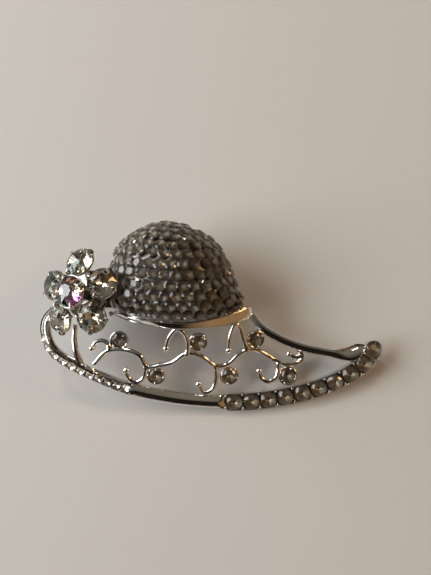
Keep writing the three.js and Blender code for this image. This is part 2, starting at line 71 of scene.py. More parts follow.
# A smooth line through points, which gives places by share of its length.
class Line:
    def __init__(self, points, closed=False):
        points = [Vector(p) for p in points]
        count = len(points)
        self.dots = []
        for k in range(count if closed else count - 1):
            near, far = points[k], points[(k + 1) % count]
            before = points[k - 1] if closed or k else near * 2 - far
            after = points[(k + 2) % count] if closed or k + 2 < count else far * 2 - near
            gap = (far - near).length ** 0.5
            gapBefore = (near - before).length ** 0.5
            gapAfter = (after - far).length ** 0.5
            leave = (near - before) / gapBefore - (far - before) / (gapBefore + gap) + (far - near) / gap
            arrive = (far - near) / gap - (after - near) / (gap + gapAfter) + (after - far) / gapAfter
            for j in range(24):
                t = j / 24
                self.dots.append(
                    near * (2 * t**3 - 3 * t**2 + 1)
                    + leave * gap * (t**3 - 2 * t**2 + t)
                    + far * (3 * t**2 - 2 * t**3)
                    + arrive * gap * (t**3 - t**2)
                )
        self.dots.append(points[0] if closed else points[-1])
        self.walked = [0]
        for a, b in zip(self.dots, self.dots[1:]):
            self.walked.append(self.walked[-1] + (b - a).length)
        self.length = self.walked[-1]

    def at(self, share):
        want = min(1, max(0, share)) * self.length
        k = min(max(bisect.bisect(self.walked, want) - 1, 0), len(self.dots) - 2)
        part = (want - self.walked[k]) / max(1e-9, self.walked[k + 1] - self.walked[k])
        return self.dots[k].lerp(self.dots[k + 1], part)

    def along(self, share):
        return (self.at(share + 0.004) - self.at(share - 0.004)).normalized()

    def spaced(self, count):
        return [self.at(k / (count - 1)) for k in range(count)]


def meshFrom(name, spots, faces, smooth=True, crease=40):
    mesh = bpy.data.meshes.new(name)
    mesh.from_pydata([tuple(s) for s in spots], [], faces)
    shape = bmesh.new()
    shape.from_mesh(mesh)
    bmesh.ops.recalc_face_normals(shape, faces=shape.faces)
    for face in shape.faces:
        face.smooth = smooth
    for edge in shape.edges:
        if len(edge.link_faces) == 2:
            edge.smooth = edge.calc_face_angle(0) < crease * degree
    shape.to_mesh(mesh)
    shape.free()
    return mesh


# Rings of points one after another, closed at both ends; a ring of one point is a pole.
def loft(name, rings, **shading):
    spots = []
    starts = []
    for ring in rings:
        starts.append(len(spots))
        spots.extend(ring)
    faces = []
    for k in range(len(rings) - 1):
        a, b = starts[k], starts[k + 1]
        na, nb = len(rings[k]), len(rings[k + 1])
        for j in range(max(na, nb)):
            here, there = j % na, (j + 1) % na
            farHere, farThere = j % nb, (j + 1) % nb
            corners = [a + here, a + there, b + farThere, b + farHere]
            faces.append(list(dict.fromkeys(corners)))
    for start, ring in ((starts[0], rings[0]), (starts[-1], rings[-1])):
        if len(ring) > 2:
            faces.append(list(range(start, start + len(ring))))
    return meshFrom(name, spots, faces, **shading)


def turned(name, profile, sides=28, **shading):
    rings = []
    for radius, height in profile:
        count = sides if radius else 1
        turns = [fullTurn * k / count for k in range(count)]
        rings.append([Vector((radius * math.cos(turn), radius * math.sin(turn), height)) for turn in turns])
    return loft(name, rings, **shading)


def ball(name, radius, sides=12, rings=7):
    turns = [math.pi * k / rings for k in range(1, rings)]
    profile = [(radius * math.sin(turn), -radius * math.cos(turn)) for turn in turns]
    return turned(name, [(0, -radius)] + profile + [(0, radius)], sides)


# An outline extruded between two flat sides, with its edges rounded off.
def plate(name, outline, low, high, bevel):
    count = len(outline)
    spots = [low(p) for p in outline] + [high(p) for p in outline]
    faces = [list(range(count)), list(range(count, 2 * count))]
    for k in range(count):
        n = (k + 1) % count
        faces.append([k, n, n + count, k + count])
    mesh = meshFrom(name, spots, faces)
    shape = bmesh.new()
    shape.from_mesh(mesh)
    sharp = [e for e in shape.edges if e.calc_face_angle(0) > 25 * degree]
    bmesh.ops.bevel(shape, geom=sharp, offset=bevel, segments=2, profile=0.6, affect="EDGES")
    shape.to_mesh(mesh)
    shape.free()
    return mesh


def joined(name, meshes):
    shape = bmesh.new()
    for mesh in meshes:
        shape.from_mesh(mesh)
    whole = bpy.data.meshes.new(name)
    shape.to_mesh(whole)
    shape.free()
    return whole


def moved(mesh, matrix):
    mesh.transform(matrix)
    return mesh


# Turns up to facing and the first axis towards along, then moves to the spot.
def placing(spot, facing, along):
    up = facing.normalized()
    side = up.cross(along).normalized()
    return Matrix.Translation(spot) @ Matrix((side.cross(up), side, up)).transposed().to_4x4()


# Gives each input of a node a value, or the output of another node.
def feed(tree, made, takes):
    for key, value in takes.items():
        if isinstance(value, bpy.types.Node):
            value = value.outputs[0]
        if isinstance(value, bpy.types.NodeSocket):
            tree.links.new(value, made.inputs[key])
        else:
            made.inputs[key].default_value = value


def node(tree, kind, takes=None, **settings):
    made = tree.nodes.new(kind)
    for key, value in settings.items():
        setattr(made, key, value)
    feed(tree, made, takes or {})
    return made


# A tree of nodes, what it is given, and the identifiers of its inputs.
def newTree(name, kind, takes, gives):
    tree = bpy.data.node_groups.new(name, kind)
    sockets = {}
    for title, socketKind in takes.items():
        made = tree.interface.new_socket(title, in_out="INPUT", socket_type="NodeSocket" + socketKind)
        sockets[title] = made.identifier
    for title, socketKind in gives.items():
        tree.interface.new_socket(title, in_out="OUTPUT", socket_type="NodeSocket" + socketKind)
    return tree, tree.nodes.new("NodeGroupInput").outputs, sockets


def sums(tree, operation, *values):
    return node(tree, "ShaderNodeMath", dict(enumerate(values)), operation=operation)


def mixColour(tree, share, first, second):
    return node(tree, "ShaderNodeMix", {0: share, 6: first, 7: second}, data_type="RGBA").outputs[2]


# 0 where the value is low and 1 where it is high.
def between(tree, value, low, high):
    return node(tree, "ShaderNodeMapRange", {0: value, 1: low, 2: high})


# Handling marks that every metal shares: cloudy dullness, fine scratches and a slightly uneven surface.
def wearGroup():
    tree, given = newTree(
        "wear", "ShaderNodeTree",
        {"Clean": "Color", "Dull": "Color", "Polish": "Float", "Marks": "Float"},
        {"Colour": "Color", "Roughness": "Float", "Normal": "Vector"},
    )[:2]
    place = node(tree, "ShaderNodeTexCoord").outputs["Object"]
    clouds = node(tree, "ShaderNodeTexNoise", {"Vector": place, "Scale": 260, "Detail": 5})
    grit = node(tree, "ShaderNodeTexNoise", {"Vector": place, "Scale": 2600, "Detail": 3})
    drawnOut = node(tree, "ShaderNodeMapping", {
        "Vector": place, "Rotation": (0.4, 0.3, 0.7), "Scale": (1, 22, 22),
    })
    scratches = node(tree, "ShaderNodeTexNoise", {"Vector": drawnOut, "Scale": 320, "Detail": 2})
    marks = sums(tree, "MULTIPLY", between(tree, clouds, 0.42, 0.72), given["Marks"])
    both = sums(tree, "MULTIPLY_ADD", between(tree, scratches, 0.6, 0.72), 0.12, marks)
    node(tree, "NodeGroupOutput", {
        "Colour": mixColour(tree, marks, given["Clean"], given["Dull"]),
        "Roughness": sums(tree, "MULTIPLY_ADD", both, 0.16, given["Polish"]),
        "Normal": node(tree, "ShaderNodeBump", {"Strength": 0.16, "Distance": 0.00004, "Height": grit}),
    })
    return tree


# Colour that drifts over a stone, and a different strength on each facet. It is partly random tone and partly
# painted colour flashes that stand in for the light a cut stone splits into colours.
def tintGroup():
    tree, given = newTree(
        "facetTint", "ShaderNodeTree",
        {"Base": "Color", "Cool": "Color", "Warm": "Color", "Spread": "Float"}, {"Colour": "Color"},
    )[:2]
    place = node(tree, "ShaderNodeTexCoord").outputs["Object"]
    drift = node(tree, "ShaderNodeTexNoise", {"Vector": place, "Scale": 420})
    facet = node(tree, "ShaderNodeAttribute", attribute_name="facet").outputs["Fac"]
    side = between(tree, sums(tree, "ADD", drift, facet), 0.6, 1.4)
    tint = mixColour(tree, side, given["Cool"], given["Warm"])
    node(tree, "NodeGroupOutput", {"Colour": mixColour(tree, given["Spread"], given["Base"], tint)})
    return tree


# The colours of a coated stone, each from a share of the turn onwards. The coating's tints are fixed by facet
# direction as painted reflection. The white from 0.42 is a painted highlight on the facets facing the window's
# side.
auroraAndGlintStops = (
    (0, (0.5, 0.36, 0.2)), (0.13, (0.95, 0.25, 0.1)), (0.28, (0.8, 0.95, 0.85)), (0.42, (1, 1, 1)),
    (0.62, (0.55, 0.9, 1)), (0.74, (0.6, 0.03, 0.45)), (0.93, (0.45, 0.2, 0.25)),
)


# A coated stone changes colour from side to side: each facet carries the share of the turn that it faces. By that
# share the ramp paints the coating's tints as painted reflection, and paints a white painted highlight.
def auroraAndGlintGroup():
    tree, given = newTree("auroraAndGlintSides", "ShaderNodeTree", {"Strength": "Float"}, {"Colour": "Color"})[:2]
    side = node(tree, "ShaderNodeAttribute", attribute_name="facet").outputs["Fac"]
    ramp = node(tree, "ShaderNodeValToRGB", {0: side})
    ramp.color_ramp.interpolation = "CONSTANT"
    stops = ramp.color_ramp.elements
    for k, (share, colour) in enumerate(auroraAndGlintStops):
        stop = stops[k] if k < 2 else stops.new(share)
        stop.position = share
        stop.color = (*colour, 1)
    node(tree, "NodeGroupOutput", {"Colour": mixColour(tree, given["Strength"], (1, 1, 1, 1), ramp)})
    return tree


wear = wearGroup()
facetTint = tintGroup()
auroraAndGlintSides = auroraAndGlintGroup()


def newMaterial(name):
    made = bpy.data.materials.new(name)
    made.use_nodes = True
    return made, made.node_tree, made.node_tree.nodes["Principled BSDF"]


def metal(name, clean, dull, polish, marks):
    made, tree, shader = newMaterial(name)
    worn = node(
        tree, "ShaderNodeGroup", {"Clean": (*clean, 1), "Dull": (*dull, 1), "Polish": polish, "Marks": marks},
        node_tree=wear,
    ).outputs
    feed(tree, shader, {
        "Metallic": 1, "Base Color": worn["Colour"], "Roughness": worn["Roughness"], "Normal": worn["Normal"],
    })
    return made


def clearFront(name, group, values, bend=1.56, film=0):
    made, tree, shader = newMaterial(name)
    feed(tree, shader, {
        "Base Color": node(tree, "ShaderNodeGroup", values, node_tree=group),
        "Metallic": 0, "Transmission Weight": 1, "Roughness": 0.015, "IOR": bend,
        "Thin Film Thickness": film, "Thin Film IOR": 1.6,
    })
    return made


def foiledBack(name, group, values, rough):
    made, tree, shader = newMaterial(name)
    feed(tree, shader, {
        "Base Color": node(tree, "ShaderNodeGroup", values, node_tree=group),
        "Metallic": 1, "Roughness": rough,
    })
    return made


def tints(base, cool, warm, spread):
    return {"Base": (*base, 1), "Cool": (*cool, 1), "Warm": (*warm, 1), "Spread": spread}


silver = metal("silver", (0.88, 0.86, 0.83), (0.5, 0.46, 0.4), 0.06, 0.4)
# The next two are darker copies of the same silver, as painted shade. The first is for the crown's shell and the
# grains in the hollows between its stones. The second is for the rim's grains, the flower's cups, hub and post and
# the back plate, which lie under stones or behind them.
deepShadedSilver = metal("deepShadedSilver", (0.3, 0.27, 0.24), (0.12, 0.1, 0.085), 0.3, 0.9)
halfShadedSilver = metal("halfShadedSilver", (0.55, 0.52, 0.48), (0.3, 0.27, 0.23), 0.16, 0.7)
steel = metal("steel", (0.62, 0.63, 0.64), (0.42, 0.41, 0.4), 0.24, 0.8)

# In these tints Cool and Warm are the painted colour flashes that each facet gets.
clearTint = tints((0.95, 0.95, 0.94), (0.9, 0.96, 1), (1, 0.93, 0.82), 0.6)
dullTint = tints((0.25, 0.215, 0.165), (0.22, 0.21, 0.185), (0.33, 0.24, 0.14), 0.7)
petalTint = tints((0.96, 0.96, 0.95), (0.9, 0.97, 1), (1, 0.94, 0.84), 0.6)
petalFoilTint = tints((0.82, 0.8, 0.76), (0.76, 0.82, 0.86), (0.88, 0.72, 0.46), 0.7)
clearTop = clearFront("clearTop", facetTint, clearTint)
dullFoil = foiledBack("dullFoil", facetTint, dullTint, 0.45)
petalTop = clearFront("petalTop", facetTint, petalTint, film=260)
petalFoil = foiledBack("petalFoil", facetTint, petalFoilTint, 0.05)
# The centre stone's clear top and foil take the coating tints and the white painted highlight from the facet
# directions.
auroraAndGlintTop = clearFront("auroraAndGlintTop", auroraAndGlintSides, {"Strength": 0.8}, bend=1.75)
auroraAndGlintFoil = foiledBack("auroraAndGlintFoil", auroraAndGlintSides, {"Strength": 0.6}, 0.06)
print("materials made")


def attribute(tree, name, kind):
    return node(tree, "GeometryNodeInputNamedAttribute", {"Name": name}, data_type=kind).outputs["Attribute"]


# One shape set out over points, each turned and sized by what its point carries and by chance.
def setOutTree():
    tree, given, sockets = newTree(
        "setOut", "GeometryNodeTree",
        {
            "Points": "Geometry", "Shape": "Object", "Tilt": "Float", "Spin": "Float",
            "Vary": "Float", "Seed": "Int", "Main": "Material", "Foil": "Material",
        },
        {"Mesh": "Geometry"},
    )
    facing = attribute(tree, "facing", "FLOAT_VECTOR")
    along = attribute(tree, "along", "FLOAT_VECTOR")
    aim = node(
        tree, "FunctionNodeAxesToRotation", {0: facing, 1: along}, primary_axis="Z", secondary_axis="X",
    )
    chance = node(
        tree, "FunctionNodeRandomValue", {"Min": (-1, -1, -1), "Max": (1, 1, 1), "Seed": given["Seed"]},
        data_type="FLOAT_VECTOR",
    )
    limits = node(tree, "ShaderNodeCombineXYZ", {0: given["Tilt"], 1: given["Tilt"], 2: given["Spin"]})
    angles = node(tree, "ShaderNodeVectorMath", {0: chance, 1: limits}, operation="MULTIPLY")
    nudge = node(tree, "FunctionNodeEulerToRotation", {0: angles})
    whole = node(tree, "FunctionNodeRotateRotation", {0: aim, 1: nudge}, rotation_space="LOCAL")
    least = sums(tree, "SUBTRACT", 1, given["Vary"])
    most = sums(tree, "ADD", 1, given["Vary"])
    sizes = node(
        tree, "FunctionNodeRandomValue", {2: least, 3: most, "Seed": given["Seed"]}, data_type="FLOAT",
    )
    copies = node(tree, "GeometryNodeInstanceOnPoints", {
        "Points": given["Points"],
        "Instance": node(tree, "GeometryNodeObjectInfo", {0: given["Shape"]}).outputs["Geometry"],
        "Rotation": whole,
        "Scale": sums(tree, "MULTIPLY", sizes.outputs[1], attribute(tree, "size", "FLOAT")),
    })
    real = node(tree, "GeometryNodeRealizeInstances", {0: copies})
    main = node(tree, "GeometryNodeSetMaterial", {"Geometry": real, "Material": given["Main"]})
    foil = node(tree, "GeometryNodeSetMaterial", {
        "Geometry": main, "Selection": attribute(tree, "foiled", "BOOLEAN"), "Material": given["Foil"],
    })
    node(tree, "NodeGroupOutput", {0: foil})
    return tree, sockets


# A round wire along a path, as thick at each point as the point says.
def wireTree():
    tree, given, sockets = newTree(
        "drawWire", "GeometryNodeTree",
        {"Path": "Geometry", "Radius": "Float", "Sides": "Int", "Main": "Material"}, {"Mesh": "Geometry"},
    )
    ring = node(tree, "GeometryNodeCurvePrimitiveCircle", {
        "Resolution": given["Sides"], "Radius": given["Radius"],
    })
    body = node(tree, "GeometryNodeCurveToMesh", {
        "Curve": node(tree, "GeometryNodeMeshToCurve", {0: given["Path"]}), "Profile Curve": ring,
        "Scale": attribute(tree, "size", "FLOAT"), "Fill Caps": True,
    })
    soft = node(tree, "GeometryNodeSetShadeSmooth", {"Geometry": body})
    real = node(tree, "GeometryNodeRealizeInstances", {0: soft})
    main = node(tree, "GeometryNodeSetMaterial", {"Geometry": real, "Material": given["Main"]})
    node(tree, "NodeGroupOutput", {0: main})
    return tree, sockets


setOut, setOutSockets = setOutTree()
drawWire, drawWireSockets = wireTree()


# The plain mesh that a tree of nodes makes from this one.
def grown(mesh, tree, sockets, values):
    carrier = bpy.data.objects.new("carrier", mesh)
    bpy.context.collection.objects.link(carrier)
    modifier = carrier.modifiers.new("grow", "NODES")
    modifier.node_group = tree
    for title, value in values.items():
        modifier[sockets[title]] = value
    bpy.context.view_layer.update()
    finished = carrier.evaluated_get(bpy.context.evaluated_depsgraph_get())
    made = bpy.data.meshes.new_from_object(finished)
    carrier.modifiers.remove(modifier)
    bpy.data.objects.remove(carrier)
    return made


# A shape set out over places, each of which is (spot, facing, along, size).
def spread(shapeMesh, places, main, foil=None, tilt=0, spin=0, vary=0, seed=1):
    dots = bpy.data.meshes.new("dots")
    dots.from_pydata([tuple(p[0]) for p in places], [], [])
    for k, name in ((1, "facing"), (2, "along")):
        layer = dots.attributes.new(name, "FLOAT_VECTOR", "POINT")
        for j, place in enumerate(places):
            layer.data[j].vector = place[k]
    sizes = dots.attributes.new("size", "FLOAT", "POINT")
    for j, place in enumerate(places):
        sizes.data[j].value = place[3]
    pattern = bpy.data.objects.new("pattern", shapeMesh)
    bpy.context.collection.objects.link(pattern)
    made = grown(dots, setOut, setOutSockets, {
        "Shape": pattern, "Tilt": tilt * degree, "Spin": spin * degree, "Vary": vary,
        "Seed": seed, "Main": main, "Foil": foil or main,
    })
    bpy.data.objects.remove(pattern)
    return made


# A round wire through spots; thick gives its share of the radius at a share of the way.
def wired(spots, radius, sides, main, thick=None):
    path = bpy.data.meshes.new("path")
    path.from_pydata([tuple(s) for s in spots], [(k, k + 1) for k in range(len(spots) - 1)], [])
    sizes = path.attributes.new("size", "FLOAT", "POINT")
    for k in range(len(spots)):
        sizes.data[k].value = thick(k / (len(spots) - 1)) if thick else 1
    return grown(path, drawWire, drawWireSockets, {"Radius": radius, "Sides": sides, "Main": main})


def addPiece(name, mesh, nodes, body="ornament", main=None):
    mesh.name = name
    if main:
        mesh.materials.clear()
        mesh.materials.append(main)
    mesh.transform(hatToWorld)
    piece = bpy.data.objects.new(name, mesh)
    bpy.context.collection.objects.link(piece)
    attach(piece, body)
    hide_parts(*nodes)
    return piece


# A cut stone of radius 1 with its girdle at height 0. The back of it is foiled.
# Each facet carries a chance number, or on a coated stone the share of the turn that it faces; there the table
# carries 0.45, which gives it the white painted highlight.
def cutStone(name, sides, table=0.56, crown=0.36, depth=0.5, fullBack=True, seed=3, coated=False):
    def ring(count, radius, height, offset=0):
        return [
            Vector((
                radius * math.cos(fullTurn * (k + offset) / count),
                radius * math.sin(fullTurn * (k + offset) / count),
                height,
            ))
            for k in range(count)
        ]

    spots = ring(sides, table, crown) + ring(sides, 0.8, crown * 0.62, 0.5)
    spots += ring(2 * sides, 1, 0.03) + ring(2 * sides, 1, -0.03)
    stars, top, bottom = sides, 2 * sides, 4 * sides
    faces = [list(range(sides))]
    for k in range(sides):
        n = (k + 1) % sides
        left = (k - 1) % sides
        faces.append([k, n, stars + k])
        faces.append([k, stars + left, top + 2 * k, stars + k])
        faces.append([stars + k, top + 2 * k, top + 2 * k + 1])
        faces.append([stars + k, top + 2 * k + 1, top + (2 * k + 2) % (2 * sides)])
    for k in range(2 * sides):
        n = (k + 1) % (2 * sides)
        faces.append([top + k, top + n, bottom + n, bottom + k])
    frontCount = len(faces)
    if fullBack:
        lower = len(spots)
        spots += ring(sides, 0.42, -depth * 0.62, 0.5)
        spots.append(Vector((0, 0, -depth)))
        for k in range(sides):
            left = (k - 1) % sides
            faces.append([lower + sides, lower + left, bottom + 2 * k, lower + k])
            faces.append([lower + k, bottom + 2 * k, bottom + 2 * k + 1])
            faces.append([lower + k, bottom + 2 * k + 1, bottom + (2 * k + 2) % (2 * sides)])
    else:
        spots.append(Vector((0, 0, -depth)))
        for k in range(2 * sides):
            faces.append([len(spots) - 1, bottom + k, bottom + (k + 1) % (2 * sides)])
    mesh = meshFrom(name, spots, faces, smooth=False)
    chance = random.Random(seed)
    foiled = mesh.attributes.new("foiled", "BOOLEAN", "FACE")
    for k in range(len(faces)):
        foiled.data[k].value = k >= frontCount
    facet = mesh.attributes.new("facet", "FLOAT", "FACE")
    for k in range(len(faces)):
        facet.data[k].value = chance.random()
        if coated:
            middle = mesh.polygons[k].center
            facet.data[k].value = math.atan2(middle.y, middle.x) / fullTurn % 1 if k else 0.45
    return mesh


paveStone = cutStone("paveStone", 6, table=0.66, crown=0.26, depth=0.42, fullBack=False)
roundStone = cutStone("roundStone", 8)
grandStone = cutStone("grandStone", 8, table=0.5, crown=0.44, depth=0.62, seed=8)
coatedStone = cutStone("coatedStone", 8, table=0.42, crown=0.4, depth=0.6, coated=True)
grain = ball("grain", 1, 8, 5)
print("stones cut")


# The brim is a shallow dish that swells up in front of the crown.
brim = {
    "floor": -2, "dish": 0.0042, "front": -12.3, "frontBow": 0.01,
    "swell": 0.6, "swellAt": -5, "swellWide": 16,
}


def brimHeight(x, y):
    frontLine = brim["front"] + brim["frontBow"] * (x - 4) ** 2
    aside = (x - brim["swellAt"]) / brim["swellWide"]
    swell = brim["swell"] * max(0, y - frontLine) * math.exp(-(aside**2))
    return brim["floor"] + brim["dish"] * x * x + swell


def onBrim(x, y, lift=0):
    return Vector((x, y, brimHeight(x, y) + lift))


def brimNormal(x, y):
    step = 0.1
    slopeX = (brimHeight(x + step, y) - brimHeight(x - step, y)) / (2 * step)
    slopeY = (brimHeight(x, y + step) - brimHeight(x, y - step)) / (2 * step)
    return Vector((-slopeX, -slopeY, 1)).normalized()


# The front rim: widths, the lean of its face in degrees, and where on X each change begins and ends.
rimShape = {
    "middle": 2.3, "left": 2.1, "right": 3.1, "leftEnd": (-16, -13), "rightStart": (1.5, 3.5),
    "leanLeft": 52, "leanMiddle": 12, "leanRight": 10, "leanFalls": (-22, -12), "leanSettles": (0, 8),
    "stations": 320, "girdle": 0.34, "endShare": 0.02,
}
rimLine = Line([
    (x, y, lift + brim["floor"] + brim["dish"] * x * x)
    for x, y, lift in (
        (-26.3, 4.7, 0.35), (-28.9, 1.3, 0), (-27.9, -3.2, 0), (-24.4, -6.1, 0), (-16.1, -9.7, 0),
        (-7, -11.8, 0), (2, -12.6, 0), (10.5, -12.1, 0), (19.5, -10, 0), (24.9, -7.4, 0), (27.9, -4.7, 0),
        (28.8, -2.3, 0),
    )
])


# The middle of the rim there, its directions, how plain it is, and its width.
def rimFrame(share):
    at = rimLine.at(share)
    along = rimLine.along(share)
    outward = along.cross(Vector((0, 0, 1))).normalized()
    up = outward.cross(along).normalized()
    lean = rimShape["leanLeft"]
    lean += (rimShape["leanMiddle"] - rimShape["leanLeft"]) * eased(at.x, *rimShape["leanFalls"])
    lean += (rimShape["leanRight"] - rimShape["leanMiddle"]) * eased(at.x, *rimShape["leanSettles"])
    lean *= degree
    face = up * math.cos(lean) + outward * math.sin(lean)
    across = outward * math.cos(lean) - up * math.sin(lean)
    left = 1 - eased(at.x, *rimShape["leftEnd"])
    right = eased(at.x, *rimShape["rightStart"])
    width = rimShape["middle"]
    width += left * (rimShape["left"] - width) + right * (rimShape["right"] - width)
    return at, along, face, across, 1 - max(left, right), width


# Half of each section, from the middle of the top round to the middle of the bottom: (share across, height).
plainHalf = [
    (0, 0.55), (0.1, 0.52), (0.4, 0.36), (0.75, 0.14), (0.94, 0.02), (1, -0.14), (0.97, -0.7), (0.82, -1.02),
    (0.3, -1.1),
]
channelHalf = [
    (0, -0.28), (0.3, -0.28), (0.8, -0.24), (0.84, 0.12), (0.9, 0.2), (0.985, 0.14), (1, -0.7), (0.85, -1.02),
    (0.3, -1.1),
]


def rimMesh():
    rings = []
    count = rimShape["stations"]
    for k in range(count + 1):
        share = k / count
        at, _, face, across, plain, width = rimFrame(share)
        end = min(share, 1 - share)
        half = width / 2 * (0.55 + 0.45 * math.sqrt(min(1, end / 0.014)))
        sides = [
            (a + (b - a) * plain, c + (d - c) * plain)
            for (a, c), (b, d) in zip(channelHalf, plainHalf)
        ]
        # towards both ends of the rim the channel fills up and its walls come down
        if end < rimShape["endShare"]:
            fill = 0.3 * (1 - end / rimShape["endShare"])
            sides = [(a, min(c, 0.1) + (fill if c < 0 and a < 0.83 else 0)) for a, c in sides]
        section = sides + [(-a, c) for a, c in reversed(sides[1:])]
        rings.append([at + across * (half * a) + face * c for a, c in section])
    return loft("frontRim", rings, crease=38)


def rimShareAt(x):
    low, high = 0.1, 1
    while high - low > 1e-4:
        middle = (low + high) / 2
        if rimLine.at(middle).x < x:
            low = middle
        else:
            high = middle
    return low


addPiece("frontRim", rimMesh(), ["front_rim"], main=silver)
rimRuns = {
    "Left": {
        "first": 0.1, "count": 11, "stone": 0.8, "pitch": 1.72, "inset": 0.3, "grain": 0.2, "foil": petalFoil,
    },
    "Right": {
        "first": rimShareAt(4.4), "count": 10, "stone": 1.42, "pitch": 3.02, "inset": 0.42, "grain": 0.24,
        "foil": dullFoil,
    },
}
for name, run in rimRuns.items():
    pitch = run["pitch"] / rimLine.length
    seat = rimShape["girdle"] * (0.6 + 0.28 * run["stone"])
    places = []
    dots = []
    for k in range(run["count"]):
        at, along, face = rimFrame(run["first"] + k * pitch)[:3]
        places.append((at + face * seat, face, along, run["stone"]))
        for gap in ((-0.5, 0.5) if k == 0 else (0.5,)):
            at, along, face, across, plain, width = rimFrame(run["first"] + (k + gap) * pitch)
            for side in (-1, 1):
                spot = at + across * side * (width / 2 - run["inset"]) + face * 0.16
                dots.append((spot, face, along, run["grain"]))
    gems = spread(roundStone, places, clearTop, run["foil"], tilt=5, spin=180, vary=0.02, seed=4)
    addPiece("rimStones" + name, gems, ["rim_stones_" + name.lower()])
    # the grains between the rim stones are painted dimmer silver: painted shade
    grains = spread(grain, dots, halfShadedSilver, vary=0.12, seed=6)
    addPiece("rimGrains" + name, grains, [])
print("front rim made")


# The back rim is a bar that widens into the web at the tip.
backRim = {
    "half": 0.8, "web": 0.55, "webStarts": (0.72, 0.92), "slope": 0.4, "slopeStarts": (0.72, 0.88),
    "steps": 80,
}
backRimLine = Line([
    (6.7, 3.5, 0.8), (8.8, 0.7, 0.9), (11.5, -1.1, 0.9), (15.1, -2.7, 0.8), (20.2, -3.9, 0.8),
    (24.4, -4.3, 1.0), (27.3, -3.2, 1.3),
])
backRimSection = [
    (-1, -0.5), (-0.9, -0.7), (0.9, -0.7), (1, -0.55), (0.98, -0.1), (0.86, 0.28), (0.7, 0.4),
    (0.1, 0.53), (-0.4, 0.6), (-0.62, 0.52), (-0.92, 0.2), (-1, 0),
]


def backRimMesh():
    rings = []
    for k in range(backRim["steps"] + 1):
        share = k / backRim["steps"]
        at = backRimLine.at(share)
        across = backRimLine.along(share).cross(Vector((0, 0, 1))).normalized()
        half = backRim["half"] + backRim["web"] * eased(share, *backRim["webStarts"])
        half *= 0.6 + 0.4 * math.sqrt(min(1, min(share, 1 - share) / 0.03))
        half *= 1 - 0.35 * eased(share, 0.94, 1)
        # the web at the tip slopes down to its back edge
        slope = backRim["slope"] * eased(share, *backRim["slopeStarts"])
        rings.append([
            at + across * (half * a) + Vector((0, 0, c + (slope * (a - 0.7) if c > 0.15 else 0)))
            for a, c in backRimSection
        ])
    return loft("backRim", rings, crease=42)


addPiece("backRim", backRimMesh(), ["back_rim"], main=silver)


filigree = {"radius": 0.46, "sides": 14, "end": 0.58, "root": 0.4, "rootReach": 0.7, "taper": 0.12}
vine = [
    (-20.3, -5.9), (-17.7, -3.6), (-14.3, -3.6), (-12.1, -4.5), (-10.9, -6.4), (-8.6, -6.2), (-6.5, -5.7),
    (-4.5, -4.4), (-3.2, -4.1), (-1.1, -4.8), (1.2, -6.3), (3.2, -6.0), (5.0, -4.4), (6.7, -3.5),
    (8.4, -3.6), (10.1, -4.4), (11.7, -5.4), (12.9, -5.9), (14.9, -5.9), (16.2, -5.3), (16.3, -4.3),
    (15.3, -3.0),
]
branches = {
    "start_curl": [(-17.5, -3.5), (-17.7, -2.5), (-18.7, -1.9), (-19.9, -2.2), (-20.6, -3.2)],
    "left_curl": [(-11.0, -6.5), (-11.7, -8.4), (-13.0, -9.1), (-14.3, -8.3), (-14.6, -7.0)],
    "left_hook": [(-3.8, -4.3), (-3.6, -2.3), (-4.3, -0.7), (-5.4, -0.1), (-6.7, -1.3), (-7.4, -3.3)],
    "middle_curl": [(1.1, -6.3), (1.2, -8.6), (0.4, -10.4), (-0.9, -10.9), (-1.9, -9.4)],
    "right_hook": [(6.5, -3.6), (5.9, -1.5), (5.3, 0.2), (4.5, 0.8), (3.7, -0.7), (3.3, -3.6)],
    "right_curl": [(12.2, -5.7), (11.7, -8.3), (10.3, -9.0), (9.1, -8.3), (8.7, -7.1)],
    "end_bud": [(16.2, -4.5), (15.1, -4.7), (14.0, -4.2)],
}
brimStonePlaces = [(-15.7, -1.9), (-9.4, -8.0), (-1.9, -2.3), (3.5, -8.0), (8.0, -1.7), (13.8, -8.0)]

vineLine = Line([onBrim(x, y) for x, y in vine])
vineMesh = wired(vineLine.spaced(220), filigree["radius"], filigree["sides"], silver)
addPiece("filigreeVine", vineMesh, ["filigree_vine"])
for name, path in branches.items():
    line = Line([onBrim(x, y) for x, y in path])

    # thicker where it leaves the vine, and thinner towards its rolled end
    def thick(share, length=line.length):
        root = filigree["root"] * math.exp(-((share * length / filigree["rootReach"]) ** 2))
        return 1 + root - filigree["taper"] * share

    tube = wired(line.spaced(64), filigree["radius"], filigree["sides"], silver, thick)
    knob = moved(ball("knob", filigree["end"], 16, 10), Matrix.Translation(line.at(1)))
    first, second = name.split("_")
    addPiece(first + second.title(), joined(name, [tube, knob]), [name], main=silver)
print("filigree made")


